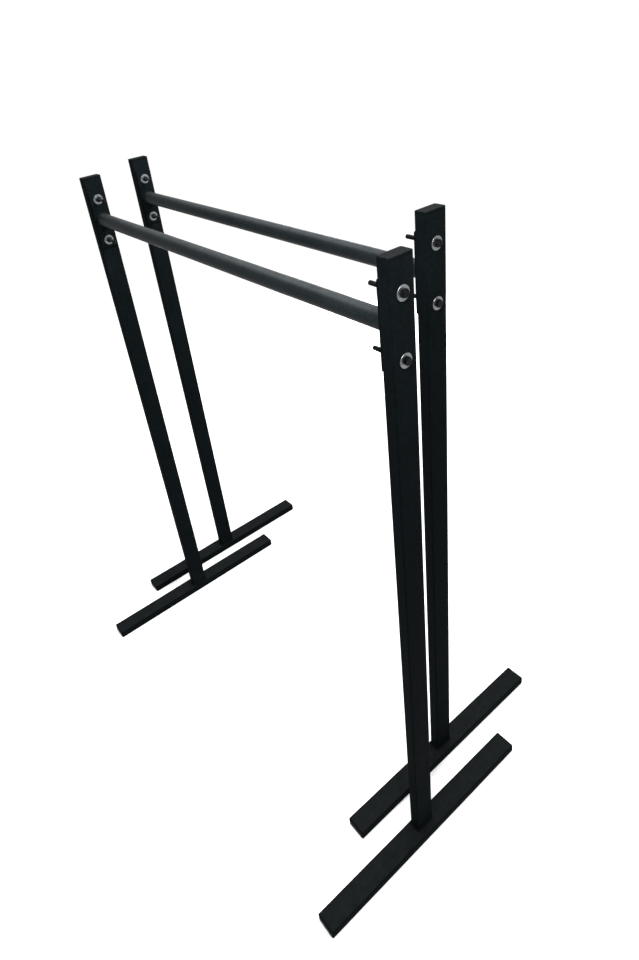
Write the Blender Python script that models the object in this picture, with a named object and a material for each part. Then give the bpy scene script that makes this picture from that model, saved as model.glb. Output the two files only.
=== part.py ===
"""A pair of free-standing parallel exercise bars, in metres with +Z up.

Two identical steel frames stand side by side, one set back a little along its bar. Each frame is a
round grip bar bolted between two upright tubes, and each upright is welded to a foot laid flat on
the floor. The origin is on the floor at the middle of the pair. +Y runs along the bars and +X
across them, so seen from the front frame looking to the rear one, the left end is at +Y.
"""

import math

import bmesh
import bpy
from mathutils import Matrix

# The frame.
UPRIGHT_SPAN = 1.100  # between the centre lines of a frame's two uprights
TOP_HEIGHT = 1.486  # floor to the top of an upright's cap
BAR_HEIGHT = 1.375  # floor to the bar's centre line
FOOT_LENGTH = 0.642  # over both end caps
FOOT_OUTSET = 0.007  # a foot's centre line lies this far outside its upright's
FRAME_SPACING = 0.188  # between the two bars, across them
FRAME_STAGGER = 0.105  # how far the rear frame is set back along its bar

# The rectangular tube of the uprights and feet.
TUBE_WIDTH = 0.050
TUBE_DEPTH = 0.025
TUBE_WALL = 0.002
TUBE_CORNER = 0.003
CORNER_STEPS = 3

# The round bar and the plates on its ends.
BAR_DIAMETER = 0.0337
BAR_WALL = 0.0026
BAR_SIDES = 32
PLATE_HEIGHT = 0.150
PLATE_WIDTH = 0.045
PLATE_THICKNESS = 0.004
PLATE_CORNER = 0.003

# The plastic caps in the tubes' open ends.
CAP_FLANGE = 0.003
CAP_EDGE = 0.0008
CAP_PLUG_DEPTH = 0.014
CAP_PLUG_WALL = 0.0015

# The M8 bolts, two on each plate.
BOLT_PITCH = 0.108  # between the upper and the lower bolt, centred on the bar
BOLT_DIAMETER = 0.008
BOLT_LENGTH = 0.070  # under the head
BOLT_TIP = 0.001
HEAD_FLATS = 0.013
HEAD_HEIGHT = 0.0053
NUT_HEIGHT = 0.0068
HEX_CHAMFER = 0.0006
HOLE_DIAMETER = 0.009
NUT_BORE = 0.0086
WASHER_DIAMETER = 0.025
WASHER_BORE = 0.0088
WASHER_THICKNESS = 0.0016
ROUND_SIDES = 18  # a multiple of six, so that a ring also has a hexagon's corners

GAP = 0.0003  # left between pieces that touch
QUARTER = math.radians(90)

# Colour as linear red, green and blue, then metallic and roughness.
FINISHES = {
    "black_powder_coat": ((0.012, 0.013, 0.014), 0.0, 0.42),
    "textured_grip_coat": ((0.050, 0.053, 0.055), 0.0, 0.55),
    "black_plastic": ((0.020, 0.021, 0.022), 0.0, 0.50),
    "black_oxide": ((0.008, 0.008, 0.009), 0.6, 0.45),
    "bright_zinc": ((0.62, 0.63, 0.64), 1.0, 0.32),
}


def clear_scene():
    """Remove whatever the scene holds."""
    for old in list(bpy.data.objects):
        bpy.data.objects.remove(old)


def make_finishes():
    """Return one Principled material for each finish."""
    made = {}
    for name, (colour, metallic, roughness) in FINISHES.items():
        material = bpy.data.materials.new(name)
        material.use_nodes = True
        shader = material.node_tree.nodes["Principled BSDF"]
        shader.inputs["Base Color"].default_value = (*colour, 1.0)
        shader.inputs["Metallic"].default_value = metallic
        shader.inputs["Roughness"].default_value = roughness
        material.diffuse_color = (*colour, 1.0)
        made[name] = material
    return made


def rounded_rectangle(width, depth, radius):
    """Return the outline of a rectangle with round corners, counter-clockwise about its centre."""
    points = []
    for corner, (across, along) in enumerate(((1, 1), (-1, 1), (-1, -1), (1, -1))):
        for step in range(CORNER_STEPS + 1):
            angle = QUARTER * (corner + step / CORNER_STEPS)
            points.append(
                (
                    across * (width / 2 - radius) + radius * math.cos(angle),
                    along * (depth / 2 - radius) + radius * math.sin(angle),
                )
            )
    return points


def circle(radius, sides=ROUND_SIDES):
    """Return the points of a circle."""
    angles = [2 * math.pi * side / sides for side in range(sides)]
    return [(radius * math.cos(angle), radius * math.sin(angle)) for angle in angles]


def hexagon(across_flats, largest_radius=math.inf):
    """Return a hexagon with points along its sides, its corners cut to a radius if one is given."""
    points = []
    for side in range(ROUND_SIDES):
        angle = 2 * math.pi * side / ROUND_SIDES
        from_flat = (angle % math.radians(60)) - math.radians(30)
        radius = min(across_flats / 2 / math.cos(from_flat), largest_radius)
        points.append((radius * math.cos(angle), radius * math.sin(angle)))
    return points


def skin(name, rings, hollow=False):
    """Return a mesh over a row of rings, each an outline and its height.

    A solid piece has its first and last rings filled. A hollow one is open right through, so its
    last ring joins its first.
    """
    shape = bmesh.new()
    loops = [[shape.verts.new((x, y, height)) for x, y in outline] for outline, height in rings]
    pairs = list(zip(loops, loops[1:]))
    if hollow:
        pairs.append((loops[-1], loops[0]))
    else:
        shape.faces.new(loops[0])
        shape.faces.new(loops[-1])
    for low, high in pairs:
        for here in range(len(low)):
            there = (here + 1) % len(low)
            shape.faces.new((low[here], low[there], high[there], high[here]))
    bmesh.ops.recalc_face_normals(shape, faces=shape.faces)
    mesh = bpy.data.meshes.new(name)
    shape.to_mesh(mesh)
    shape.free()
    mesh.shade_smooth()
    mesh.set_sharp_from_angle(angle=math.radians(32))
    return mesh


def rectangular_tube(name, length):
    """Return a length of the rectangular tube, standing on z = 0 with its width along X."""
    outer = rounded_rectangle(TUBE_WIDTH, TUBE_DEPTH, TUBE_CORNER)
    inner = rounded_rectangle(
        TUBE_WIDTH - 2 * TUBE_WALL, TUBE_DEPTH - 2 * TUBE_WALL, TUBE_CORNER - TUBE_WALL
    )
    return skin(name, [(outer, 0), (outer, length), (inner, length), (inner, 0)], hollow=True)


def round_bar(name, length):
    """Return the grip bar's tube, centred on the origin along Z."""
    outer = circle(BAR_DIAMETER / 2, BAR_SIDES)
    inner = circle(BAR_DIAMETER / 2 - BAR_WALL, BAR_SIDES)
    ends = (-length / 2, length / 2)
    return skin(
        name, [(outer, ends[0]), (outer, ends[1]), (inner, ends[1]), (inner, ends[0])], hollow=True
    )


def tube_cap(name):
    """Return an end cap: a flange the size of the tube above z = 0 and a hollow plug below it."""
    plug_width = TUBE_WIDTH - 2 * (TUBE_WALL + GAP)
    plug_depth = TUBE_DEPTH - 2 * (TUBE_WALL + GAP)
    plug_corner = TUBE_CORNER - TUBE_WALL
    flange = rounded_rectangle(TUBE_WIDTH, TUBE_DEPTH, TUBE_CORNER)
    face = rounded_rectangle(
        TUBE_WIDTH - 2 * CAP_EDGE, TUBE_DEPTH - 2 * CAP_EDGE, TUBE_CORNER - CAP_EDGE
    )
    plug = rounded_rectangle(plug_width, plug_depth, plug_corner)
    hollow = rounded_rectangle(
        plug_width - 2 * CAP_PLUG_WALL, plug_depth - 2 * CAP_PLUG_WALL, plug_corner / 2
    )
    rings = [
        (face, CAP_FLANGE),
        (flange, CAP_FLANGE - CAP_EDGE),
        (flange, 0),
        (plug, 0),
        (plug, -CAP_PLUG_DEPTH),
        (hollow, -CAP_PLUG_DEPTH),
        (hollow, 0),
    ]
    return skin(name, rings)


def end_plate(name):
    """Return a bar's end plate, its height along Y and its thickness along Z from 0."""
    outline = rounded_rectangle(PLATE_WIDTH, PLATE_HEIGHT, PLATE_CORNER)
    return skin(name, [(outline, 0), (outline, PLATE_THICKNESS)])


def washer(name):
    """Return a flat washer standing on z = 0."""
    rim = circle(WASHER_DIAMETER / 2)
    bore = circle(WASHER_BORE / 2)
    rings = [(rim, 0), (rim, WASHER_THICKNESS), (bore, WASHER_THICKNESS), (bore, 0)]
    return skin(name, rings, hollow=True)


def nut(name):
    """Return a hexagon nut standing on z = 0, both faces chamfered."""
    face = hexagon(HEAD_FLATS, HEAD_FLATS / 2)
    flats = hexagon(HEAD_FLATS)
    bore = circle(NUT_BORE / 2)
    rings = [
        (face, 0),
        (flats, HEX_CHAMFER),
        (flats, NUT_HEIGHT - HEX_CHAMFER),
        (face, NUT_HEIGHT),
        (bore, NUT_HEIGHT),
        (bore, 0),
    ]
    return skin(name, rings, hollow=True)


def hexagon_bolt(name):
    """Return a bolt with the underside of its head at z = 0 and its shank down along -Z."""
    flats = hexagon(HEAD_FLATS)
    shank = circle(BOLT_DIAMETER / 2)
    rings = [
        (hexagon(HEAD_FLATS, HEAD_FLATS / 2), HEAD_HEIGHT),
        (flats, HEAD_HEIGHT - HEX_CHAMFER),
        (flats, 0),
        (shank, 0),
        (shank, BOLT_TIP - BOLT_LENGTH),
        (circle(BOLT_DIAMETER / 2 - BOLT_TIP), -BOLT_LENGTH),
    ]
    return skin(name, rings)


def drill(name):
    """Return a cutter mesh for the two bolt holes of one frame end, both along Y."""
    shape = bmesh.new()
    for height in (BAR_HEIGHT - BOLT_PITCH / 2, BAR_HEIGHT + BOLT_PITCH / 2):
        made = bmesh.ops.create_cone(
            shape,
            cap_ends=True,
            segments=ROUND_SIDES,
            radius1=HOLE_DIAMETER / 2,
            radius2=HOLE_DIAMETER / 2,
            depth=4 * TUBE_DEPTH,
        )
        bmesh.ops.rotate(shape, verts=made["verts"], matrix=Matrix.Rotation(QUARTER, 3, "X"))
        bmesh.ops.translate(shape, verts=made["verts"], vec=(0, 0, height))
    mesh = bpy.data.meshes.new(name)
    shape.to_mesh(mesh)
    shape.free()
    return mesh


def make_meshes():
    """Return the mesh of each kind of piece, which its copies share."""
    bar_length = UPRIGHT_SPAN - TUBE_DEPTH - 2 * (PLATE_THICKNESS + 2 * GAP)
    upright_length = TOP_HEIGHT - TUBE_DEPTH - CAP_FLANGE - 2 * GAP
    foot_length = FOOT_LENGTH - 2 * (CAP_FLANGE + GAP)
    return {
        "bar": round_bar("bar", bar_length),
        "plate": end_plate("plate"),
        "upright": rectangular_tube("upright", upright_length),
        "foot": rectangular_tube("foot", foot_length),
        "cap": tube_cap("cap"),
        "bolt": hexagon_bolt("bolt"),
        "washer": washer("washer"),
        "nut": nut("nut"),
        "drill": drill("drill"),
    }


def empty(name, parent=None, location=(0, 0, 0), turn=(0, 0, 0)):
    """Return an empty that places what is parented to it."""
    made = bpy.data.objects.new(name, None)
    made.location = location
    made.rotation_euler = turn
    made.parent = parent
    bpy.context.scene.collection.objects.link(made)
    return made


def place(name, mesh, material, parent, location=(0, 0, 0), turn=(0, 0, 0)):
    """Return a piece under a parent, with a finish unless it is a cutter."""
    made = bpy.data.objects.new(name, mesh)
    made.location = location
    made.rotation_euler = turn
    made.parent = parent
    if material and not mesh.materials:
        mesh.materials.append(material)
    bpy.context.scene.collection.objects.link(made)
    return made


def cut(piece, cutter):
    """Cut the bolt holes in a piece."""
    modifier = piece.modifiers.new("bolt_holes", "BOOLEAN")
    modifier.operation = "DIFFERENCE"
    modifier.solver = "EXACT"
    modifier.object = cutter


def add_foot(side, end, meshes, finishes, toe_first):
    """Add one end's foot and its two caps. toe_first is True where this end's -X is the pair's."""
    level = TUBE_DEPTH / 2
    reach = FOOT_LENGTH / 2 - CAP_FLANGE
    place(
        f"{side}_foot",
        meshes["foot"],
        finishes["black_powder_coat"],
        end,
        (-reach + GAP, FOOT_OUTSET, level),
        (QUARTER, 0, QUARTER),
    )
    names = ("toe_cap", "heel_cap") if toe_first else ("heel_cap", "toe_cap")
    for name, across in zip(names, (-1, 1)):
        place(
            f"{side}_{name}",
            meshes["cap"],
            finishes["black_plastic"],
            end,
            (across * reach, FOOT_OUTSET, level),
            (QUARTER, 0, across * QUARTER),
        )


def add_upright(side, end, meshes, finishes):
    """Add one end's upright, its top cap and the bar's end plate, and drill the bolt holes."""
    cutter = place(f"{side}_drill", meshes["drill"], None, end)
    cutter.hide_render = True
    cutter.display_type = "WIRE"
    upright = place(
        f"{side}_upright",
        meshes["upright"],
        finishes["black_powder_coat"],
        end,
        (0, 0, TUBE_DEPTH + GAP),
    )
    place(
        f"{side}_top_cap",
        meshes["cap"],
        finishes["black_plastic"],
        end,
        (0, 0, TOP_HEIGHT - CAP_FLANGE),
    )
    plate = place(
        f"{side}_bar_plate",
        meshes["plate"],
        finishes["black_powder_coat"],
        end,
        (0, -TUBE_DEPTH / 2 - GAP, BAR_HEIGHT),
        (QUARTER, 0, 0),
    )
    cut(upright, cutter)
    cut(plate, cutter)


def add_bolt(side, level, height, end, meshes, finishes):
    """Add one bolt from outside the upright, with its two washers and its nut on the plate."""
    outer_face = TUBE_DEPTH / 2 + GAP
    inner_face = -TUBE_DEPTH / 2 - PLATE_THICKNESS - 2 * GAP
    under_head = outer_face + WASHER_THICKNESS + GAP
    under_nut = inner_face - WASHER_THICKNESS - GAP
    outwards = (-QUARTER, 0, 0)
    inwards = (QUARTER, 0, 0)
    for name, mesh, finish, along, turn in (
        ("outer_washer", "washer", "bright_zinc", outer_face, outwards),
        ("bolt", "bolt", "black_oxide", under_head, outwards),
        ("inner_washer", "washer", "bright_zinc", inner_face, inwards),
        ("nut", "nut", "bright_zinc", under_nut, inwards),
    ):
        place(
            f"{side}_{level}_{name}", meshes[mesh], finishes[finish], end, (0, along, height), turn
        )


def add_frame(name, across, along, meshes, finishes):
    """Add one frame, its middle at (across, along) on the floor."""
    middle = empty(f"{name}_frame", None, (across, along, 0))
    place(
        f"{name}_bar",
        meshes["bar"],
        finishes["textured_grip_coat"],
        middle,
        (0, 0, BAR_HEIGHT),
        (QUARTER, 0, 0),
    )
    for word, direction in (("left", 1), ("right", -1)):
        side = f"{name}_{word}"
        end = empty(
            f"{side}_end",
            middle,
            (0, direction * UPRIGHT_SPAN / 2, 0),
            (0, 0, 0 if direction > 0 else 2 * QUARTER),
        )
        add_foot(side, end, meshes, finishes, direction > 0)
        add_upright(side, end, meshes, finishes)
        for level, sign in (("upper", 1), ("lower", -1)):
            height = BAR_HEIGHT + sign * BOLT_PITCH / 2
            add_bolt(side, level, height, end, meshes, finishes)


def main():
    """Build the pair."""
    clear_scene()
    finishes = make_finishes()
    meshes = make_meshes()
    for name, sign in (("front", -1), ("rear", 1)):
        across = sign * FRAME_SPACING / 2
        along = sign * FRAME_STAGGER / 2
        add_frame(name, across, along, meshes, finishes)


main()
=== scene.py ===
"""Looks for a pair of tall free-standing parallel exercise bars.

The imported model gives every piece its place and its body. Here each piece is modelled again
at full detail on the bench, at the origin, and copied to where its node stands: drilled tube
with rolled corners, moulded end caps, threaded bolts, chamfered nuts, punched washers, and
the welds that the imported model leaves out. The pieces of one kind share a procedural finish.
"""

import logging
import math
from collections.abc import Callable, Iterator
from contextlib import contextmanager
from dataclasses import dataclass
from enum import Enum
from functools import cached_property

import bmesh
import bpy
from bmesh.types import BMEdge, BMFace
from bpy.types import Material, Mesh, NodeSocket, NodeTree, Object
from mathutils import Matrix, Vector

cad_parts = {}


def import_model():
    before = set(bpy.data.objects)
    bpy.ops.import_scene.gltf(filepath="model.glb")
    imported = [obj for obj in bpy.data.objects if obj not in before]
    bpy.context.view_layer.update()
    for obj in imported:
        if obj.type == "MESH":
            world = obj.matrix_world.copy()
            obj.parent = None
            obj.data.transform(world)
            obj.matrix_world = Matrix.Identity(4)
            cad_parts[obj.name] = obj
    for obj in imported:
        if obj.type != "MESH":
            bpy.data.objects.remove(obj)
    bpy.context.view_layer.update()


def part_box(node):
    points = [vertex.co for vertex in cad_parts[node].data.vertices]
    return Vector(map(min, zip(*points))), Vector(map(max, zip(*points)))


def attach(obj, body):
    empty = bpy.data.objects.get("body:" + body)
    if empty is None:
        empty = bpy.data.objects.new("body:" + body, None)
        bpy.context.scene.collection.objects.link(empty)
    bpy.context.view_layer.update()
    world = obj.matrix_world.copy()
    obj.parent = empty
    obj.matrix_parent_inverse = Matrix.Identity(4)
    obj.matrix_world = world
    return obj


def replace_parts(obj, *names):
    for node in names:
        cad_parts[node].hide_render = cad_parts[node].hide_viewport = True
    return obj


LOG = logging.getLogger("parallel_bars")

Point = tuple[float, float, float]

MM = 0.001
QUARTER_TURN = math.radians(90)
FULL_TURN = 2 * math.pi
TOUCHING = 1e-6  # points closer than this, in metres, are at one place
PARALLEL = 0.99  # the least share of an edge's length that runs along an axis parallel to it

# How a piece made along +Z on the bench is turned into the model.
UPRIGHT = Matrix.Identity(4)
HALF_TURN = Matrix.Rotation(2 * QUARTER_TURN, 4, "Z")
FACING_OUT = Matrix.Rotation(-QUARTER_TURN, 4, "X")  # +Z to +Y
FACING_IN = Matrix.Rotation(QUARTER_TURN, 4, "X")  # +Z to -Y
LAID_ACROSS = Matrix(((0, 0, 1, 0), (1, 0, 0, 0), (0, 1, 0, 0), (0, 0, 0, 1)))  # +Z to +X


class Frame(Enum):
    """The two frames of the pair."""

    FRONT = "front"
    REAR = "rear"

    @property
    def body(self) -> str:
        """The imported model's body that this frame's pieces ride on."""
        return f"{self.value}_frame"


class End(Enum):
    """The two ends of a frame; the right end is the left one turned half round."""

    LEFT = "left"
    RIGHT = "right"

    @property
    def turn(self) -> Matrix:
        """The turn that takes a left-hand piece to this end."""
        return UPRIGHT if self is End.LEFT else HALF_TURN


class Level(Enum):
    """The two bolts that hold a bar's plate."""

    UPPER = "upper"
    LOWER = "lower"


class Side(Enum):
    """The two washers on a bolt: under its head, and under its nut."""

    OUTER = "outer"
    INNER = "inner"


class Slot(Enum):
    """The record's material slots."""

    FRAME_COAT = "frame_coat"
    GRIP_COAT = "grip_coat"
    CAP_PLASTIC = "cap_plastic"
    BOLT_BLACK = "bolt_black"
    ZINC = "zinc"


class Kind(Enum):
    """What a selection is made of."""

    FACES = "FACE"
    EDGES = "EDGE"


class Act(Enum):
    """What one solid does to another."""

    CUT = "DIFFERENCE"
    JOIN = "UNION"
    CROSS = "INTERSECT"


# --- bench tools


def put_down() -> None:
    """Leaves nothing selected, so that the next operator acts only on its own piece."""
    for obj in bpy.context.selected_objects:
        obj.select_set(False)


def pick_up(obj: Object) -> None:
    """Makes one object the only selected one, and the active one.

    Args:
        obj: The object.
    """
    put_down()
    obj.select_set(True)
    bpy.context.view_layer.objects.active = obj


def new_piece(name: str, primitive: Callable, **settings: object) -> Object:
    """Starts a piece from a primitive.

    Args:
        name: The piece's name.
        primitive: The operator that adds the primitive.
        **settings: Its size and place.

    Returns:
        The new object, with its place in its mesh.
    """
    put_down()
    primitive(**settings)
    obj = bpy.context.active_object
    obj.name = name
    bpy.ops.object.transform_apply(location=True, rotation=True, scale=True)
    return obj


def new_block(name: str, size: Point, height: float = 0) -> Object:
    """Starts a piece as a block on the Z axis.

    Args:
        name: The piece's name.
        size: Its extent along X, Y and Z, in metres.
        height: The height of its middle.

    Returns:
        The new object.
    """
    cube = bpy.ops.mesh.primitive_cube_add
    return new_piece(name, cube, size=1.0, location=(0, 0, height), scale=size)


def new_round(
    name: str, radius: float, low: float, high: float, sides: int, closed: bool = True
) -> Object:
    """Starts a piece as a cylinder on the Z axis.

    Args:
        name: The piece's name.
        radius: Its radius, in metres.
        low: The height of its lower end.
        high: The height of its upper end.
        sides: How many flat sides stand for the round.
        closed: Whether its ends have faces.

    Returns:
        The new object.
    """
    return new_piece(
        name,
        bpy.ops.mesh.primitive_cylinder_add,
        vertices=sides,
        radius=radius,
        depth=high - low,
        end_fill_type="NGON" if closed else "NOTHING",
        location=(0, 0, (low + high) / 2),
    )


@contextmanager
def edit_mode(obj: Object) -> Iterator[None]:
    """Opens one piece in edit mode with nothing selected, and closes it again.

    Args:
        obj: The piece.

    Yields:
        Nothing, while the piece is open.
    """
    pick_up(obj)
    bpy.ops.object.mode_set(mode="EDIT")
    bpy.ops.mesh.select_all(action="DESELECT")
    yield
    bpy.ops.object.mode_set(mode="OBJECT")


def select(obj: Object, kind: Kind, wanted: Callable[[object], bool]) -> None:
    """Selects, in edit mode, just the faces or edges that a test accepts.

    Args:
        obj: The piece, open in edit mode.
        kind: What to select.
        wanted: The test.
    """
    bpy.ops.mesh.select_mode(type=kind.value)
    bpy.ops.mesh.select_all(action="DESELECT")
    mesh = bmesh.from_edit_mesh(obj.data)
    mesh.normal_update()
    for part in mesh.faces if kind is Kind.FACES else mesh.edges:
        if wanted(part):
            part.select_set(True)
    bmesh.update_edit_mesh(obj.data)


def runs_along(axis: str) -> Callable[[BMEdge], bool]:
    """A test for the edges parallel to the axis x, y or z."""
    return lambda edge: (
        abs(getattr(edge.verts[1].co - edge.verts[0].co, axis)) > PARALLEL * edge.calc_length()
    )


def lies_at(height: float) -> Callable[[BMEdge | BMFace], bool]:
    """A test for the edges or faces that lie wholly at one height."""
    return lambda part: all(abs(vertex.co.z - height) < TOUCHING for vertex in part.verts)


def round_off(width: float, steps: int) -> None:
    """Bevels the selected edges to a round."""
    bpy.ops.mesh.bevel(
        offset_type="OFFSET", offset=width, segments=steps, profile=0.5, affect="EDGES"
    )


def push(rise: float) -> None:
    """Extrudes the selected faces by a rise along Z."""
    bpy.ops.mesh.extrude_region_move(TRANSFORM_OT_translate={"value": (0, 0, rise)})


def stretch(across: float, along: float) -> None:
    """Scales what is selected along X and along Y."""
    bpy.ops.transform.resize(value=(across, along, 1))


def apply_modifier(obj: Object, kind: str, **settings: object) -> None:
    """Adds one modifier to a piece, with its settings, and applies it.

    Args:
        obj: The piece.
        kind: The modifier's type, as Blender names it.
        **settings: The modifier's properties.
    """
    pick_up(obj)
    bpy.ops.object.modifier_add(type=kind)
    modifier = obj.modifiers[-1]
    for name, value in settings.items():
        setattr(modifier, name, value)
    bpy.ops.object.modifier_apply(modifier=modifier.name)


def combine(obj: Object, act: Act, tool: Object) -> None:
    """Cuts, joins or crosses a piece with another one, which is used up.

    Args:
        obj: The piece that stays.
        act: What the tool does to it.
        tool: The piece that is used up.
    """
    apply_modifier(obj, "BOOLEAN", operation=act.value, solver="EXACT", object=tool)
    bpy.data.objects.remove(tool)


def drill(obj: Object, heights: tuple[float, ...], diameter: float, reach: float) -> None:
    """Drills holes through a piece along Y.

    Args:
        obj: The piece.
        heights: The heights of the holes.
        diameter: Their diameter.
        reach: How far the drill goes out on each side of the middle.
    """
    for height in heights:
        bit = new_round("drill", diameter / 2, -reach, reach, sides=48)
        bit.data.transform(Matrix.Translation((0, 0, height)) @ FACING_OUT)
        combine(obj, Act.CUT, bit)


def ease_edges(obj: Object, width: float, steps: int = 2, sharper_than: float = 50) -> None:
    """Rounds every edge that turns by more than an angle.

    Args:
        obj: The piece.
        width: The round's width, in metres.
        steps: How many faces go round it.
        sharper_than: The least turn, in degrees, that counts as an edge.
    """
    apply_modifier(
        obj,
        "BEVEL",
        width=width,
        segments=steps,
        limit_method="ANGLE",
        angle_limit=math.radians(sharper_than),
        use_clamp_overlap=True,
        miter_outer="MITER_ARC",
    )


def merge_slivers(obj: Object, span: float = 3 * TOUCHING) -> None:
    """Merges what the cuts and rounds leave too close together.

    Args:
        obj: The piece.
        span: The distance, in metres, below which points become one.
    """
    with edit_mode(obj):
        bpy.ops.mesh.select_all(action="SELECT")
        bpy.ops.mesh.remove_doubles(threshold=span)
        bpy.ops.mesh.dissolve_degenerate(threshold=span)


def heading(angle: float) -> Vector:
    """The level direction at an angle from +X."""
    return Vector((math.cos(angle), math.sin(angle), 0))


# --- finishes

# The numbered sockets of a node that mixes colours, and of one that maps a span to another.
SHARE, UNDER, OVER, MIXED = 0, 6, 7, 2
FROM_LOW, FROM_HIGH, TO_LOW, TO_HIGH = 1, 2, 3, 4

# The span that most of a noise's values lie in.
NOISE_LOW, NOISE_HIGH = 0.3, 0.7


def linear(colour: str) -> tuple[float, float, float, float]:
    """Turns an sRGB colour into the linear values that nodes take.

    Args:
        colour: The colour in hex, such as #1a2b3c.

    Returns:
        Red, green, blue and a full alpha.
    """
    channels = [int(colour[start : start + 2], 16) / 255 for start in (1, 3, 5)]
    red, green, blue = [
        value / 12.92 if value <= 0.04045 else ((value + 0.055) / 1.055) ** 2.4
        for value in channels
    ]
    return red, green, blue, 1.0


def add_node(
    tree: NodeTree, kind: str, inputs: dict | None = None, **settings: object
) -> bpy.types.bpy_prop_collection:
    """Adds a node with its settings, values and links.

    Args:
        tree: The material's node tree.
        kind: The node's type, without the ShaderNode that its name starts with.
        inputs: A value, or an output to link, for each named or numbered input.
        **settings: The node's properties.

    Returns:
        The new node's outputs.
    """
    node = tree.nodes.new(f"ShaderNode{kind}")
    for name, value in settings.items():
        setattr(node, name, value)
    for socket, value in (inputs or {}).items():
        if isinstance(value, NodeSocket):
            tree.links.new(value, node.inputs[socket])
        else:
            node.inputs[socket].default_value = value
    return node.outputs


@dataclass(frozen=True)
class Finish:
    """A surface: two shades of one colour, a gloss, and the marks that it carries.

    Attributes:
        slot: The record's slot that it fills.
        title: The material's name.
        dark: The darker shade, sRGB.
        light: The lighter shade, sRGB.
        roughness: The mean roughness.
        patch: The size of a patch of shade, in metres.
        grain: The size of a bump in the surface, in metres.
        relief: The bump's height, in metres.
        glossier: How far the roughness falls in some patches.
        duller: How far it rises in others.
        metallic: 1 for bare or plated metal.
        specular: The specular level, for what isn't metal.
        edge_colour: The colour along the edges, sRGB.
        edge_amount: How much of that colour the edges take, from 0 to 1.
        edge_reach: How far it reaches in from an edge, in millimetres.
        spot: The size of a spot where the edges take more or less of it, in metres.
        dust_and_sheen: How much dusting and painted sheen the upward faces take, from 0 to 1.
        dust_and_sheen_colour: The pale colour of that dusting and painted sheen, sRGB.
        film: The size of a patch of dusting and painted sheen, in metres.
        thin: How much of that film its thin patches hold.
    """

    slot: Slot
    title: str
    dark: str
    light: str
    roughness: float
    patch: float
    grain: float
    relief: float
    glossier: float = 0.05
    duller: float = 0.07
    metallic: float = 0.0
    specular: float = 0.5
    edge_colour: str = ""
    edge_amount: float = 0.0
    edge_reach: float = 1.0
    spot: float = 12 * MM
    dust_and_sheen: float = 0.0
    # the pale colour that the dusting and the painted sheen share
    dust_and_sheen_colour: str = "#8d8f8e"
    film: float = 25 * MM
    thin: float = 0.4

    @cached_property
    def material(self) -> Material:
        """The material, built once: shades, edge colour, dusting and painted sheen, gloss, bump.
        """
        material = bpy.data.materials.new(self.title)
        material.use_nodes = True
        tree = material.node_tree
        tree.nodes.clear()
        place = add_node(tree, "TexCoord")["Object"]
        colour, patches = self._shade(tree, place)
        # Edge colour, then dusting and painted sheen on upward faces, go over the shades.
        covers = (
            (self.edge_amount, self._edge_share, self.edge_colour),
            (self.dust_and_sheen, self._dust_and_sheen_cover, self.dust_and_sheen_colour),
        )
        for amount, cover, shade in covers:
            if amount:
                layers = {SHARE: cover(tree, place), UNDER: colour, OVER: linear(shade)}
                colour = add_node(tree, "Mix", layers, data_type="RGBA")[MIXED]
        span = {
            "Value": patches,
            FROM_LOW: NOISE_LOW,
            FROM_HIGH: NOISE_HIGH,
            TO_LOW: self.roughness - self.glossier,
            TO_HIGH: self.roughness + self.duller,
        }
        gloss = add_node(tree, "MapRange", span)[0]
        grain = {"Vector": place, "Scale": 1 / self.grain, "Detail": 3.0, "Roughness": 0.55}
        height = add_node(tree, "TexNoise", grain)[0]
        bump = {"Height": height, "Distance": self.relief, "Strength": 1.0}
        surface = {
            "Base Color": colour,
            "Roughness": gloss,
            "Normal": add_node(tree, "Bump", bump)["Normal"],
            "Metallic": self.metallic,
        }
        if not self.metallic:
            surface["Specular IOR Level"] = self.specular
        shader = add_node(tree, "BsdfPrincipled", surface)[0]
        add_node(tree, "OutputMaterial", {"Surface": shader})
        return material

    def _shade(self, tree: NodeTree, place: NodeSocket) -> tuple[NodeSocket, NodeSocket]:
        """The colour, drifting between its two shades in patches.

        Args:
            tree: The material's node tree.
            place: The object coordinates.

        Returns:
            The colour, and the patches as a value from 0 to 1.
        """
        coarse = {"Vector": place, "Scale": 1 / self.patch, "Detail": 4.0, "Roughness": 0.6}
        patches = add_node(tree, "TexNoise", coarse)[0]
        fine = {"Vector": place, "Scale": 1 / (2 * self.grain), "Detail": 2.0}
        speckle = add_node(tree, "TexNoise", fine)[0]
        both = add_node(tree, "Math", {0: patches, 1: speckle}, operation="ADD")[0]
        # The two noises' sum stays close to 1.
        share = add_node(tree, "MapRange", {"Value": both, FROM_LOW: 0.75, FROM_HIGH: 1.25})[0]
        shades = {SHARE: share, UNDER: linear(self.dark), OVER: linear(self.light)}
        return add_node(tree, "Mix", shades, data_type="RGBA")[MIXED], patches

    def _from_edge(self, tree: NodeTree) -> NodeSocket:
        """The distance to the nearest edge of a box-shaped piece, in millimetres.

        A point on a face is at no distance from one pair of sides, so the middle one of the
        three distances to the sides is the distance to the nearest edge.

        Args:
            tree: The material's node tree.

        Returns:
            The distance.
        """
        centre, half = (
            add_node(tree, "Attribute", attribute_name=name)["Vector"]
            for name in ("from_centre", "half_size")
        )
        reach = add_node(tree, "VectorMath", {0: centre}, operation="ABSOLUTE")[0]
        inset = add_node(tree, "VectorMath", {0: half, 1: reach}, operation="SUBTRACT")[0]
        across, along, up = add_node(tree, "SeparateXYZ", {0: inset})
        nearer, further = (
            add_node(tree, "Math", {0: across, 1: along}, operation=operation)[0]
            for operation in ("MINIMUM", "MAXIMUM")
        )
        second = add_node(tree, "Math", {0: further, 1: up}, operation="MINIMUM")[0]
        return add_node(tree, "Math", {0: nearer, 1: second}, operation="MAXIMUM")[0]

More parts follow.
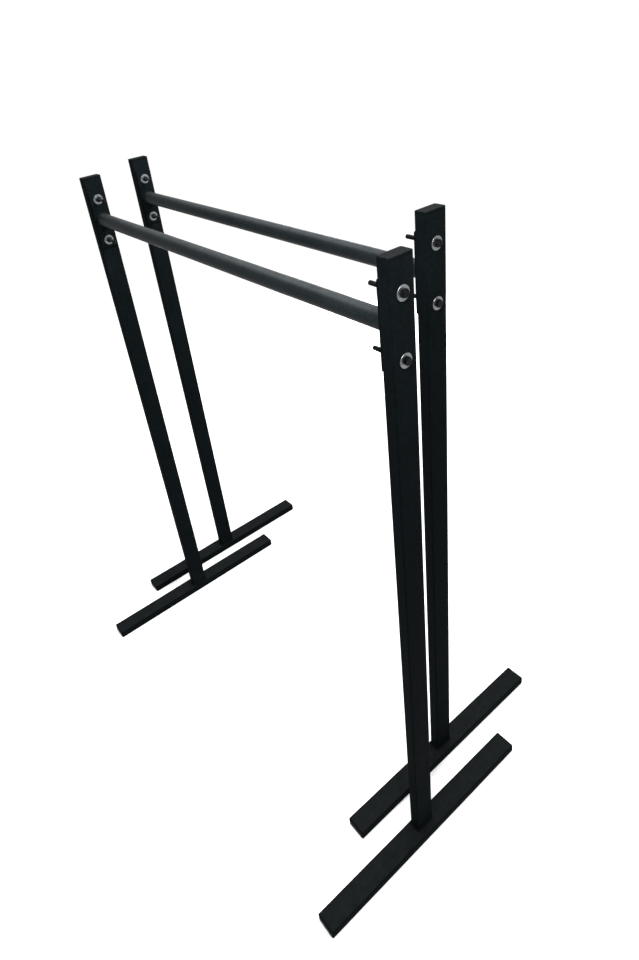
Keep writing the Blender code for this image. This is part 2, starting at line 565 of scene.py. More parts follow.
    def _edge_share(self, tree: NodeTree, place: NodeSocket) -> NodeSocket:
        """How much edge colour the surface takes: along its edges, more in some spots than
        others.

        Args:
            tree: The material's node tree.
            place: The object coordinates.

        Returns:
            The share of the edge colour, from 0 to 1.
        """
        reach = {
            "Value": self._from_edge(tree),
            FROM_HIGH: self.edge_reach,
            TO_LOW: 1.0,
            TO_HIGH: 0.0,
        }
        share = add_node(tree, "MapRange", reach, interpolation_type="SMOOTHSTEP")[0]
        noise = {"Vector": place, "Scale": 1 / self.spot, "Detail": 5.0, "Roughness": 0.7}
        spots = add_node(tree, "TexNoise", noise)[0]
        spread = {"Value": spots, FROM_LOW: 0.35, FROM_HIGH: NOISE_HIGH, TO_LOW: 0.25}
        for factor in (add_node(tree, "MapRange", spread)[0], self.edge_amount):
            share = add_node(tree, "Math", {0: share, 1: factor}, operation="MULTIPLY")[0]
        return share

    def _dust_and_sheen_cover(self, tree: NodeTree, place: NodeSocket) -> NodeSocket:
        """How much pale film lies where the surface faces up, unevenly: dusting and painted
        sheen.

        Args:
            tree: The material's node tree.
            place: The object coordinates.

        Returns:
            The share of dusting and painted sheen, from 0 to 1.
        """
        facing = add_node(tree, "NewGeometry")["Normal"]
        # The painted sheen stands in for the light from above. Faces that lean more than about
        # 53 degrees take neither it nor dusting.
        upward = {"Value": add_node(tree, "SeparateXYZ", {0: facing})["Z"], FROM_LOW: 0.6}
        lying = add_node(tree, "MapRange", upward, interpolation_type="SMOOTHSTEP")[0]
        noise = {"Vector": place, "Scale": 1 / self.film, "Detail": 6.0, "Roughness": 0.75}
        spread = {
            "Value": add_node(tree, "TexNoise", noise)[0],
            FROM_LOW: NOISE_LOW,
            FROM_HIGH: NOISE_HIGH,
            TO_LOW: self.thin * self.dust_and_sheen,
            TO_HIGH: self.dust_and_sheen,
        }
        amount = add_node(tree, "MapRange", spread)[0]
        return add_node(tree, "Math", {0: lying, 1: amount}, operation="MULTIPLY")[0]


@dataclass(frozen=True)
class RoundFinish(Finish):
    """A finish for turned and hexagonal pieces, whose rims are found by distance from an axis.

    Attributes:
        rings: The radii, in millimetres, that are rubbed.
    """

    rings: tuple[float, ...] = ()

    def _from_edge(self, tree: NodeTree) -> NodeSocket:
        """The distance to the nearest rubbed radius, in millimetres.

        Args:
            tree: The material's node tree.

        Returns:
            The distance.
        """
        centre = add_node(tree, "Attribute", attribute_name="from_centre")["Vector"]
        flat = add_node(tree, "VectorMath", {0: centre, 1: (1, 1, 0)}, operation="MULTIPLY")[0]
        radius = add_node(tree, "VectorMath", {0: flat}, operation="LENGTH")["Value"]
        nearest = None
        for ring in self.rings:
            gap = add_node(tree, "Math", {0: radius, 1: ring}, operation="SUBTRACT")[0]
            gap = add_node(tree, "Math", {0: gap}, operation="ABSOLUTE")[0]
            if nearest is not None:
                gap = add_node(tree, "Math", {0: nearest, 1: gap}, operation="MINIMUM")[0]
            nearest = gap
        return nearest


# Satin black powder coat, sprayed and baked: a near-black film with a faint orange peel. It
# is darker along the tube's corners. Where it faces up it is paler: a little dusting, and a
# painted sheen that lightens the tops as the light from above would.
FRAME_COAT = Finish(
    slot=Slot.FRAME_COAT,
    title="satin_black_powder_coat",
    dark="#06090a",
    light="#090d0f",
    roughness=0.68,
    patch=70 * MM,
    grain=4 * MM,  # the peel is finer, about 2 mm; drawn coarser so that it shows
    relief=0.03 * MM,
    specular=0.006,
    # The edge colour here is darker than the coat: a darker line along the rounded corners.
    edge_colour="#010202",
    edge_amount=0.85,
    edge_reach=3.2,
    # paler tops: a little dusting, and a painted sheen of the light from above
    dust_and_sheen=0.024,
)

# Textured powder coat: a fine sandy skin that gives the hand a hold. The pale film on its top
# is mostly a painted highlight, with a little dusting: a soft grey band along the bar where
# the light from above would fall.
GRIP_COAT = Finish(
    slot=Slot.GRIP_COAT,
    title="textured_grey_powder_coat",
    dark="#0e1214",
    light="#14191b",
    roughness=0.40,
    patch=45 * MM,
    grain=2.2 * MM,  # the sand is about 0.8 mm; drawn coarser so that it shows
    relief=0.12 * MM,
    specular=0.03,
    # the pale top film: mostly a painted highlight along the bar, with a little dusting
    dust_and_sheen=0.055,
)

# Moulded black polyethylene: waxy, as dark as the coat, with a fine mould grain and rims that
# are rubbed a shade paler.
CAP_PLASTIC = Finish(
    slot=Slot.CAP_PLASTIC,
    title="moulded_black_polyethylene",
    dark="#060809",
    light="#0a0c0d",
    roughness=0.50,
    patch=20 * MM,
    grain=1.2 * MM,
    relief=0.03 * MM,
    specular=0.007,
    edge_colour="#131618",
    edge_amount=0.5,
    edge_reach=0.8,
    dust_and_sheen=0.004,
)

# Black oxide on steel: an oiled, nearly black metal, grey where the wrench and nut rub it.
BLACK_OXIDE = RoundFinish(
    slot=Slot.BOLT_BLACK,
    title="black_oxide_steel",
    dark="#0a0a0b",
    light="#131415",
    roughness=0.42,
    patch=10 * MM,
    grain=1 * MM,
    relief=0.01 * MM,
    metallic=1.0,
    edge_colour="#3a3c3e",
    edge_amount=0.45,
    edge_reach=0.35,
    rings=(4.0, 7.5),
)

# Bright zinc plate on steel: blue-white metal, softly spangled, brightest on its rims.
ZINC_PLATE = RoundFinish(
    slot=Slot.ZINC,
    title="bright_zinc_plate",
    dark="#6c7073",
    light="#888c8f",
    roughness=0.36,
    patch=6 * MM,
    grain=1 * MM,
    relief=0.01 * MM,
    metallic=1.0,
    edge_colour="#a8abad",
    edge_amount=0.6,
    edge_reach=0.5,
    rings=(4.4, 12.5),
)


# --- patterns and their copies


@dataclass
class Pattern:
    """A finished mesh from the bench, ready to be copied to each place that it has.

    Attributes:
        mesh: The mesh.
        centre: The middle of its box, which goes to the middle of a node's box.
        slot: The material slot that it takes its finish from. It is not used.
    """

    mesh: Mesh
    centre: Vector
    slot: Slot

    @classmethod
    def dress(cls, obj: Object, finish: Finish, smooth_below: float = 32) -> "Pattern":
        """Shades a finished piece, measures it for its finish and gives it its material.

        Args:
            obj: The piece, which leaves the bench.
            finish: Its finish.
            smooth_below: Edges that turn less than this, in degrees, are shaded smooth.

        Returns:
            The pattern.
        """
        merge_slivers(obj)
        pick_up(obj)
        bpy.ops.object.shade_smooth_by_angle(angle=math.radians(smooth_below))
        # The wide faces lead the shading, so that a flat stays flat beside its rounded edge.
        apply_modifier(obj, "WEIGHTED_NORMAL", keep_sharp=True, weight=80)
        mesh = obj.data
        bpy.data.objects.remove(obj)
        spans = list(zip(*(vertex.co for vertex in mesh.vertices)))
        low, high = (Vector([end(span) for span in spans]) for end in (min, max))
        centre = (low + high) / 2
        measures = {
            "from_centre": [(vertex.co - centre) / MM for vertex in mesh.vertices],
            "half_size": [(high - low) / (2 * MM)] * len(mesh.vertices),
        }
        for name, values in measures.items():
            attribute = mesh.attributes.new(name, "FLOAT_VECTOR", "POINT")
            attribute.data.foreach_set("vector", [axis for value in values for axis in value])
        mesh.materials.clear()
        mesh.materials.append(finish.material)
        return cls(mesh, centre, finish.slot)

    def copy(self, name: str, move: Matrix, frame: Frame) -> Object:
        """Copies the pattern to one place, with its own mesh.

        Args:
            name: The copy's name.
            move: The move from the bench to the model.
            frame: The frame that it rides with.

        Returns:
            The copy, with its place in its mesh.
        """
        mesh = self.mesh.copy()
        mesh.transform(move)
        mesh.name = name
        obj = bpy.data.objects.new(name, mesh)
        bpy.context.scene.collection.objects.link(obj)
        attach(obj, frame.body)
        LOG.info("%s: %d faces", name, len(mesh.polygons))
        return obj

    def stand_in(self, node: str, turn: Matrix, frame: Frame, drop: float = 0.0) -> None:
        """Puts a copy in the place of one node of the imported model.

        Args:
            node: The node's name.
            turn: The turn from the bench to the model.
            frame: The frame that the node is part of.
            drop: How far the copy hangs below the node, in metres, within its play.
        """
        low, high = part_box(node)
        middle = (low + high) / 2 - Vector((0, 0, drop))
        move = Matrix.Translation(middle) @ turn @ Matrix.Translation(-self.centre)
        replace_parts(self.copy(f"{node}_finished", move, frame), node)


# --- the pieces


@dataclass
class RectangularTube:
    """A length of 50 x 25 mm steel tube, made along Z with its wide sides facing Y.

    Attributes:
        name: The pattern's name.
        length: Its length, in metres.
        holes: The heights, from its middle, of the bolt holes drilled through it.
    """

    name: str
    length: float
    holes: tuple[float, ...] = ()
    width: float = 50 * MM
    depth: float = 25 * MM
    wall: float = 2 * MM
    corner: float = 3 * MM
    corner_steps: int = 8
    cut_edge: float = 0.3 * MM
    hole_diameter: float = 9 * MM

    def build(self) -> Pattern:
        """Rolls the corners, gives the tube its wall, drills it and eases its cut edges.

        Returns:
            The tube's pattern.
        """
        tube = new_block(self.name, (self.width, self.depth, self.length))
        with edit_mode(tube):
            select(tube, Kind.EDGES, runs_along("z"))
            round_off(self.corner, self.corner_steps)
            select(tube, Kind.FACES, lambda face: abs(face.normal.z) > PARALLEL)
            bpy.ops.mesh.delete(type="ONLY_FACE")
        apply_modifier(tube, "SOLIDIFY", thickness=self.wall, offset=-1.0, use_even_offset=True)
        drill(tube, self.holes, self.hole_diameter, reach=self.depth)
        ease_edges(tube, self.cut_edge)
        return Pattern.dress(tube, FRAME_COAT)


@dataclass
class TubeCap:
    """A moulded cap that plugs a tube's end, made with its flange upwards.

    Attributes:
        name: The pattern's name.
        crown_reach: How far in from the sides its face starts to round down to them.
        crown_rise: How far the rounding drops, less than the flange's thickness.
        width: The flange's extent along X, the tube's own.
        depth: The flange's extent along Y.
        rib_slope: The height of a rib's steep side, as a share of the long side that tapers
            back in, so that the cap goes in easily and holds.
        gate_diameter: The width of the shallow mark where the mould was filled.
    """

    name: str
    crown_reach: float
    crown_rise: float
    crown_steps: int = 8
    width: float = 50 * MM
    depth: float = 25 * MM
    flange: float = 3 * MM
    corner: float = 3 * MM
    corner_steps: int = 8
    edge: float = 0.12 * MM
    plug_inset: float = 2.9 * MM
    plug_depth: float = 14 * MM
    plug_wall: float = 1.5 * MM
    plug_floor: float = 1 * MM
    rib_height: float = 0.5 * MM
    rib_slope: float = 0.25
    ribs: int = 3
    gate_diameter: float = 3 * MM
    gate_depth: float = 0.25 * MM

    def build(self) -> Pattern:
        """Moulds the flange and its ribbed, hollow plug.

        Returns:
            The cap's pattern.
        """
        rim = self.flange - self.crown_rise
        cap = new_block(self.name, (self.width, self.depth, rim), rim / 2 - self.flange)
        with edit_mode(cap):
            select(cap, Kind.EDGES, runs_along("z"))
            round_off(self.corner, self.corner_steps)
            select(cap, Kind.FACES, lies_at(-self.crown_rise))
            self._crown()
            select(cap, Kind.FACES, lies_at(-self.flange))
            bpy.ops.mesh.inset(thickness=self.plug_inset, use_even_offset=True)
            # The flange's rounded corners have shrunk to specks here, so each becomes a point.
            bpy.ops.mesh.remove_doubles(threshold=self.plug_inset / 10)
            self._push_plug()
            bpy.ops.mesh.inset(thickness=self.plug_wall, use_even_offset=True)
            push(self.plug_depth - self.plug_floor)
        radius = self.gate_diameter / 2
        mark = new_round("gate", radius, -self.gate_depth, self.gate_depth, sides=32)
        combine(cap, Act.CUT, mark)
        ease_edges(cap, self.edge)
        return Pattern.dress(cap, CAP_PLASTIC)

    def _crown(self) -> None:
        """Raises the selected face along a quarter of an ellipse, drawing it in as it goes."""
        done_rise, done_width, done_depth = 0.0, self.width, self.depth
        for step in range(1, self.crown_steps + 1):
            angle = QUARTER_TURN * step / self.crown_steps
            rise = self.crown_rise * math.sin(angle)
            inset = self.crown_reach * (1 - math.cos(angle))
            width, depth = self.width - 2 * inset, self.depth - 2 * inset
            push(rise - done_rise)
            stretch(width / done_width, depth / done_depth)
            done_rise, done_width, done_depth = rise, width, depth

    def _push_plug(self) -> None:
        """Extrudes the plug downwards, with a barb that steps out and tapers in at each rib."""
        pitch = self.plug_depth / (2 * self.ribs + 1)
        wide = self.width / 2 - self.plug_inset
        deep = self.depth / 2 - self.plug_inset
        wider, deeper = 1 + self.rib_height / wide, 1 + self.rib_height / deep
        push(-pitch)
        for _ in range(self.ribs):
            push(-self.rib_slope * pitch)
            stretch(wider, deeper)
            push(-pitch)
            stretch(1 / wider, 1 / deeper)
            push(-(1 - self.rib_slope) * pitch)


@dataclass
class GripBar:
    """The round bar, 33.7 mm pipe, made along Z.

    Attributes:
        length: Its length between the end plates, in metres.
        parts: How many lengths its sides are divided into.
    """

    length: float
    parts: int = 10
    diameter: float = 33.7 * MM
    wall: float = 2.6 * MM
    sides: int = 128
    cut_edge: float = 0.4 * MM

    def build(self) -> Pattern:
        """Rolls the pipe, divides its long faces and gives it its wall.

        Returns:
            The bar's pattern.
        """
        half = self.length / 2
        bar = new_round("grip_bar", self.diameter / 2, -half, half, self.sides, closed=False)
        with edit_mode(bar):
            for part in range(1, self.parts):
                bpy.ops.mesh.select_all(action="SELECT")
                height = -half + self.length * part / self.parts
                bpy.ops.mesh.bisect(plane_co=(0, 0, height), plane_no=(0, 0, 1))
        apply_modifier(bar, "SOLIDIFY", thickness=self.wall, offset=-1.0, use_even_offset=True)
        ease_edges(bar, self.cut_edge)
        return Pattern.dress(bar, GRIP_COAT)


@dataclass
class EndPlate:
    """The flat plate welded to a bar's end, made upright with its face to Y.

    Attributes:
        hole_pitch: The distance between its two holes.
    """

    hole_pitch: float
    width: float = 45 * MM
    thickness: float = 4 * MM
    height: float = 150 * MM
    corner: float = 3 * MM
    corner_steps: int = 6
    edge: float = 0.5 * MM
    hole_diameter: float = 9 * MM

    def build(self) -> Pattern:
        """Cuts the plate, rounds its corners, drills it and eases its edges.

        Returns:
            The plate's pattern.
        """
        plate = new_block("end_plate", (self.width, self.thickness, self.height))
        with edit_mode(plate):
            select(plate, Kind.EDGES, runs_along("y"))
            round_off(self.corner, self.corner_steps)
        heights = (-self.hole_pitch / 2, self.hole_pitch / 2)
        drill(plate, heights, self.hole_diameter, reach=self.height)
        ease_edges(plate, self.edge, steps=3)
        return Pattern.dress(plate, FRAME_COAT)


@dataclass
class Thread:
    """A metric thread on a rod, made along Z with its tip at the lower end.

    The rod starts as a flat grid, which is rolled up so that its rows follow the helix.

    Attributes:
        low: The height of the tip.
        high: The height where the thread ends.
        steepness: How steep the flanks are: 1 is a plain zigzag from root to crest.
        root_cut: How much of the zigzag's foot lies flat in the root.
    """

    low: float
    high: float
    crest: float = 3.97 * MM
    root: float = 3.24 * MM
    pitch: float = 1.25 * MM
    steepness: float = 1.6
    root_cut: float = 0.3
    tip_chamfer: float = 1 * MM
    sides: int = 36
    rows_per_turn: int = 8

    def build(self) -> Object:
        """Rolls the thread and closes both ends.

        Returns:
            The threaded rod.
        """
        # One turn to spare at each end, which is pressed flat where the rod stops.
        turns = math.ceil((self.high - self.low) / self.pitch) + 2
        rows = turns * self.rows_per_turn
        grid = bpy.ops.mesh.primitive_grid_add
        rod = new_piece("rod", grid, x_subdivisions=self.sides, y_subdivisions=rows, size=2.0)
        start = self.low - self.pitch
        for vertex in rod.data.vertices:
            around = (vertex.co.x + 1) / 2
            height = start + self.pitch * (turns * (vertex.co.y + 1) / 2 + around)
            vertex.co = self._on_helix(FULL_TURN * around, min(max(height, self.low), self.high))
        merge_slivers(rod, TOUCHING)
        with edit_mode(rod):
            bpy.ops.mesh.select_mode(type="EDGE")
            bpy.ops.mesh.select_non_manifold(extend=False)
            bpy.ops.mesh.edge_face_add()
            bpy.ops.mesh.select_all(action="SELECT")
            bpy.ops.mesh.normals_make_consistent(inside=False)
        return rod

    def _on_helix(self, angle: float, height: float) -> Vector:
        """A point of the thread's surface.

        Args:
            angle: The angle round the rod.
            height: The height of the point.

        Returns:
            The point, its radius set by the thread's profile and by the tip's chamfer.
        """
        turn = (height / self.pitch - angle / FULL_TURN) % 1.0
        zigzag = 1 - abs(2 * turn - 1)
        rise = min(max(self.steepness * zigzag - self.root_cut, 0.0), 1.0)
        radius = self.root + (self.crest - self.root) * rise
        radius = min(radius, self.crest - self.tip_chamfer + (height - self.low))
        return radius * heading(angle) + Vector((0, 0, height))


@dataclass
class HexagonStock:
    """A hexagonal blank with its corners turned off, made along Z.

    Attributes:
        name: The piece's name.
        low: The height of its lower face.
        high: The height of its upper face.
        both_faces: Whether the lower face is turned off as well.
        face_share: The turned face's diameter, as a share of the distance across flats.
        clearance: How far the turned blank stands outside the corners.
        spare: How far the hexagon stands past both faces before it is turned.
    """

    name: str
    low: float
    high: float
    both_faces: bool
    across_flats: float = 13 * MM
    face_share: float = 0.95
    slope: float = math.radians(30)
    clearance: float = 0.05 * MM
    spare: float = 1 * MM
    sides: int = 96
    edge: float = 0.15 * MM

    def build(self) -> Object:
        """Crosses a hexagon with a turned blank, which leaves the arcs of a real chamfer.

        Returns:
            The blank.
        """
        corner_radius = self.across_flats / math.sqrt(3)
        low, high = self.low - self.spare, self.high + self.spare
        blank = new_round(self.name, corner_radius, low, high, sides=6)
        turned_radius = corner_radius + self.clearance
        face_radius = self.face_share * self.across_flats / 2
        drop = (turned_radius - face_radius) * math.tan(self.slope)
        shrink = face_radius / turned_radius
        low, high = self.low, self.high - drop
        ends = [(high, drop)]
        if self.both_faces:
            low += drop
            ends.append((low, -drop))
        turned = new_round("turned", turned_radius, low, high, self.sides)
        with edit_mode(turned):
            for height, rise in ends:
                select(turned, Kind.FACES, lies_at(height))
                push(rise)
                stretch(shrink, shrink)
        combine(blank, Act.CROSS, turned)
        return blank


@dataclass
class Bolt:
    """A black M8 hexagon bolt, threaded to its head, made with its head upwards."""

    length: float = 70 * MM
    head_height: float = 5.3 * MM
    washer_face: float = 0.2 * MM
    washer_face_radius: float = 5.9 * MM
    edge: float = 0.15 * MM

    def build(self) -> Pattern:
        """Forges the head and rolls the thread.

        Returns:
            The bolt's pattern.
        """
        head = HexagonStock("hexagon_bolt", self.washer_face, self.head_height, both_faces=False)
        bolt = head.build()
        ease_edges(bolt, self.edge, sharper_than=40)
        radius, thickness = self.washer_face_radius, 2 * self.washer_face
        combine(bolt, Act.JOIN, new_round("washer_face", radius, 0.0, thickness, sides=64))
        combine(bolt, Act.JOIN, Thread(-self.length, self.washer_face).build())
        return Pattern.dress(bolt, BLACK_OXIDE, smooth_below=28)


@dataclass
class Nut:
    """A black M8 nut, made along Z."""

    height: float = 6.8 * MM
    bore_diameter: float = 8.1 * MM
    edge: float = 0.15 * MM

    def build(self) -> Pattern:
        """Chamfers the hexagon on both faces, bores it and eases its edges.

        Returns:
            The nut's pattern.
        """
        half = self.height / 2
        nut = HexagonStock("nut", -half, half, both_faces=True).build()
        bore = new_round("bore", self.bore_diameter / 2, -self.height, self.height, sides=64)
        combine(nut, Act.CUT, bore)
        ease_edges(nut, self.edge, sharper_than=40)
        return Pattern.dress(nut, BLACK_OXIDE)


@dataclass
class Washer:
    """A wide zinc-plated washer, punched from sheet, made along Z with its rolled side up."""

    diameter: float = 25 * MM
    bore_diameter: float = 8.8 * MM
    thickness: float = 1.6 * MM
    rolled_edge: float = 0.5 * MM
    rolled_steps: int = 4
    burred_edge: float = 0.12 * MM
    burred_steps: int = 2
    rim_play: float = 0.05 * MM

    def build(self) -> Pattern:
        """Punches the disc and its bore, rolls one side's rims and eases the other's.

        Returns:
            The washer's pattern.
        """
        half = self.thickness / 2
        washer = new_round("washer", self.diameter / 2, -half, half, sides=96)
        reach = self.thickness
        bore = new_round("bore", self.bore_diameter / 2, -reach, reach, sides=64)
        combine(washer, Act.CUT, bore)
        rims = (
            (half, self.rolled_edge, self.rolled_steps),
            (-half, self.burred_edge, self.burred_steps),
        )
        with edit_mode(washer):
            for height, edge, steps in rims:
                select(washer, Kind.EDGES, lambda e: lies_at(height)(e) and self._on_rim(e))
                round_off(edge, steps)
        return Pattern.dress(washer, ZINC_PLATE)

    def _on_rim(self, edge: BMEdge) -> bool:
        """Whether an edge runs round the outside or the bore.

        Args:
            edge: The edge.

        Returns:
            True if both its ends are on the same rim.
        """
        return any(
            all(abs(end.co.xy.length - rim / 2) < self.rim_play for end in edge.verts)
            for rim in (self.diameter, self.bore_diameter)
        )


@dataclass
class WeldBead:
    """A fillet weld round a tube, made flat on Z = 0 with the tube standing up through it.

    A rounded rectangle whose corner is half its width is a circle, for the weld round a bar.

    Attributes:
        name: The pattern's name.
        half_width: Half the tube's extent along X.
        half_depth: Half its extent along Y.
        corner: Its corner's radius.
        leg: The weld's reach out from the tube and up it.
        bury: How deep its roots lie in the tube and in the plate.
        ripple_depth: How deep the valleys between ripples are, as a share of the leg.
        ripple_lag: How far the ripples bend across the face, as a share of their pitch.
        fullness: The power that flattens the face; 1 would leave it a quarter of a circle.
        sways: The slow changes in the leg: the share, the waves in a turn and the start.
    """

    name: str
    half_width: float
    half_depth: float
    corner: float
    leg: float = 3 * MM
    bury: float = 0.15 * MM
    ripple_pitch: float = 2.4 * MM
    ripple_depth: float = 0.18
    ripple_lag: float = 0.35
    fullness: float = 1.25
    sways: tuple[tuple[float, int, float], ...] = ((0.05, 3, 0.7), (0.03, 8, 0.0))
    ring_steps: int = 300
    face_steps: int = 16

    def build(self) -> Pattern:
        """Runs the bead round the tube, one ripple after another.

        Returns:
            The bead's pattern.
        """
        ring = self.half_width + self.half_depth
        bead = new_piece(
            self.name,
            bpy.ops.mesh.primitive_torus_add,
            major_radius=ring,
            minor_radius=self.leg,
            major_segments=self.ring_steps,
            minor_segments=self.face_steps,
        )
        for vertex in bead.data.vertices:
            along = math.atan2(vertex.co.y, vertex.co.x) / FULL_TURN % 1.0
            # The section's turn starts at the inner root, three eighths before the outer side.
            over = math.atan2(vertex.co.z, vertex.co.xy.length - ring) / FULL_TURN + 0.375
            vertex.co = self._surface(along, over % 1.0)
        with edit_mode(bead):
            bpy.ops.mesh.select_all(action="SELECT")
            bpy.ops.mesh.normals_make_consistent(inside=False)
        return Pattern.dress(bead, FRAME_COAT, smooth_below=60)

    @property
    def _path_length(self) -> float:
        """The distance once round the tube."""
        straight = 4 * (self.half_width + self.half_depth - 2 * self.corner)
        return straight + FULL_TURN * self.corner

    def _path(self, distance: float) -> tuple[Vector, Vector]:
        """The tube's outline at a distance along it.

        Args:
            distance: The distance from the middle of the side that faces +X.

        Returns:
            The point, and the direction out of the tube there.
        """
        extents = (self.half_width, self.half_depth)
        arc = self.corner * QUARTER_TURN
        distance += self.half_depth - self.corner
        side = 0
        while True:
            extent, half_run = extents[side % 2], extents[(side + 1) % 2] - self.corner
            out, forward = heading(side * QUARTER_TURN), heading((side + 1) * QUARTER_TURN)
            if distance <= 2 * half_run:
                return extent * out + (distance - half_run) * forward, out
            distance -= 2 * half_run
            if distance <= arc:
                centre = (extent - self.corner) * out + half_run * forward
                out = heading(side * QUARTER_TURN + distance / self.corner)
                return centre + self.corner * out, out
            distance -= arc
            side += 1

    def _surface(self, along: float, over: float) -> Vector:
        """A point of the bead.

        Args:
            along: The share of the way round the tube.
            over: The share of the way round the bead's section, from its inner root along
                the foot, over the face and down the tube.

        Returns:
            The point.
        """
        point, out = self._path(along * self._path_length)
        leg = self.leg
        for share, waves, start in self.sways:
            leg += share * self.leg * math.sin(waves * FULL_TURN * along + start)
        reach, rise = 0.0, 0.0
        if over < 0.25:
            reach = 4 * over
        elif over > 0.75:
            rise = 4 * (1 - over)
        else:
            angle = (over - 0.25) * math.pi
            count = round(self._path_length / self.ripple_pitch)
            lag = self.ripple_lag * math.sin(2 * angle)
            valley = 1 - abs(math.sin(math.pi * (count * along + lag)))
            swell = 1 - self.ripple_depth * valley * math.sin(2 * angle)
            reach = swell * math.cos(angle) ** self.fullness
            rise = swell * math.sin(angle) ** self.fullness
        up = Vector((0, 0, rise * leg - self.bury))
        return point + (reach * leg - self.bury) * out + up


# --- the whole object


@dataclass
class ParallelBars:
    """The pair of frames: every node's stand-in, and the welds between them.

    Attributes:
        bolt_pitch: The distance between a plate's two bolts.
        washer_drop: How far a washer hangs on its bolt.
        spanner_turns: The angles, in degrees, that the bolts were left at, one after another.
        nut_share: A nut's angle, as a share of its bolt's.
        collar_leg: The leg of the weld round a bar.
    """

    bolt_pitch: float = 108 * MM
    washer_drop: float = 0.3 * MM
    spanner_turns: tuple[float, ...] = (4.0, 54.0, 22.0, 41.0)
    nut_share: float = -0.6
    collar_leg: float = 3.4 * MM

    def build(self) -> None:
        """Makes each pattern and copies it to its places."""
        self._frames()
        self._caps()
        self._bars()
        self._repeat(EndPlate(self.bolt_pitch).build(), "bar_plate", UPRIGHT)
        self._fasteners()
        self._welds()

    @staticmethod
    def _corners() -> Iterator[tuple[Frame, End, str]]:
        """Goes round both ends of both frames.

        Yields:
            The frame, the end, and the start of its nodes' names.
        """
        for frame in Frame:
            for end in End:
                yield frame, end, f"{frame.value}_{end.value}"

    def _repeat(self, pattern: Pattern, kind: str, turn: Matrix) -> None:
        """Puts a pattern at every corner, turned with the frame's end.

        Args:
            pattern: The pattern.
            kind: The end of its nodes' names.
            turn: The turn that lays it at a left end.
        """
        for frame, end, prefix in self._corners():
            pattern.stand_in(f"{prefix}_{kind}", end.turn @ turn, frame)

    def _frames(self) -> None:
        """Stands the four uprights, drilled for the bolts, and lays the four feet."""
        low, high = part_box("front_left_upright")
        bar_low, bar_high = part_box("front_bar")
        middle = (bar_low.z + bar_high.z) / 2 - (low.z + high.z) / 2
        holes = (middle - self.bolt_pitch / 2, middle + self.bolt_pitch / 2)
        upright = RectangularTube("upright", high.z - low.z, holes)
        self._repeat(upright.build(), "upright", UPRIGHT)
        low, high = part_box("front_left_foot")
        self._repeat(RectangularTube("foot", high.x - low.x).build(), "foot", LAID_ACROSS)

    def _caps(self) -> None:
        """Plugs the tops of the uprights and both ends of the feet, which are rounder."""
        top = TubeCap("top_cap", crown_reach=1.5 * MM, crown_rise=1.3 * MM).build()
        end_cap = TubeCap("foot_cap", crown_reach=5.5 * MM, crown_rise=2.7 * MM).build()
        for frame, _end, prefix in self._corners():
            top.stand_in(f"{prefix}_top_cap", UPRIGHT, frame)
            end_cap.stand_in(f"{prefix}_toe_cap", HALF_TURN @ LAID_ACROSS, frame)
            end_cap.stand_in(f"{prefix}_heel_cap", LAID_ACROSS, frame)

    def _bars(self) -> None:
        """Hangs the two grip bars."""
        low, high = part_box("front_bar")
        pattern = GripBar(high.y - low.y).build()
        for frame in Frame:
            pattern.stand_in(f"{frame.value}_bar", FACING_OUT, frame)

    def _fasteners(self) -> None:
        """Puts in the eight bolts with their washers and nuts, each as its spanner left it."""
        bolt, nut, washer = Bolt().build(), Nut().build(), Washer().build()
        spots = [(*corner, level) for corner in self._corners() for level in Level]
        for count, (frame, end, prefix, level) in enumerate(spots):
            start = f"{prefix}_{level.value}"
            angle = math.radians(self.spanner_turns[count % len(self.spanner_turns)])
            turn, nut_turn = (
                end.turn @ FACING_OUT @ Matrix.Rotation(angle * share, 4, "Z")
                for share in (1.0, self.nut_share)
            )
            bolt.stand_in(f"{start}_bolt", turn, frame)
            nut.stand_in(f"{start}_nut", nut_turn, frame)
            for side in Side:
                washer.stand_in(f"{start}_{side.value}_washer", turn, frame, self.washer_drop)

    def _welds(self) -> None:
        """Runs the weld round each upright's base and round each end of the bars."""
        tube = RectangularTube("sizes", 0.0)
        base = WeldBead("foot_weld", tube.width / 2, tube.depth / 2, tube.corner).build()
        radius = GripBar(0.0).diameter / 2
        collar = WeldBead("bar_weld", radius, radius, radius, leg=self.collar_leg).build()
        for frame, end, prefix in self._corners():
            low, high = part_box(f"{prefix}_upright")
            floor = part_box(f"{prefix}_foot")[1].z
            foot = Vector(((low.x + high.x) / 2, (low.y + high.y) / 2, floor))
            base.copy(f"{prefix}_foot_weld", Matrix.Translation(foot) @ end.turn, frame)
            low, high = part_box(f"{frame.value}_bar")
            plate_low, plate_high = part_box(f"{prefix}_bar_plate")
            plane = plate_low.y if end is End.LEFT else plate_high.y
            joint = Vector(((low.x + high.x) / 2, plane, (low.z + high.z) / 2))
            move = Matrix.Translation(joint) @ end.turn @ FACING_IN
            collar.copy(f"{prefix}_bar_weld", move, frame)


# --- the studio


@dataclass(frozen=True)
class Softbox:
    """A rectangular area light.

    Attributes:
        name: The light's name.
        place: Where it hangs, in metres.
        target: What it points at.
        size: Its width and height, in metres.
        power: Its power, in watts.
    """

    name: str
    place: Point
    target: Point
    size: tuple[float, float]
    power: float

    def hang(self) -> None:
        """Hangs the light and points it at its target."""
        light = bpy.data.lights.new(self.name, "AREA")
        light.shape = "RECTANGLE"
        light.size, light.size_y = self.size
        light.energy = self.power
        obj = bpy.data.objects.new(self.name, light)
        obj.location = self.place
        aim = Vector(self.target) - obj.location
        obj.rotation_euler = aim.to_track_quat("-Z", "Y").to_euler()
        obj.visible_camera = False
        bpy.context.scene.collection.objects.link(obj)
        LOG.info("%s: %.0f W", self.name, self.power)


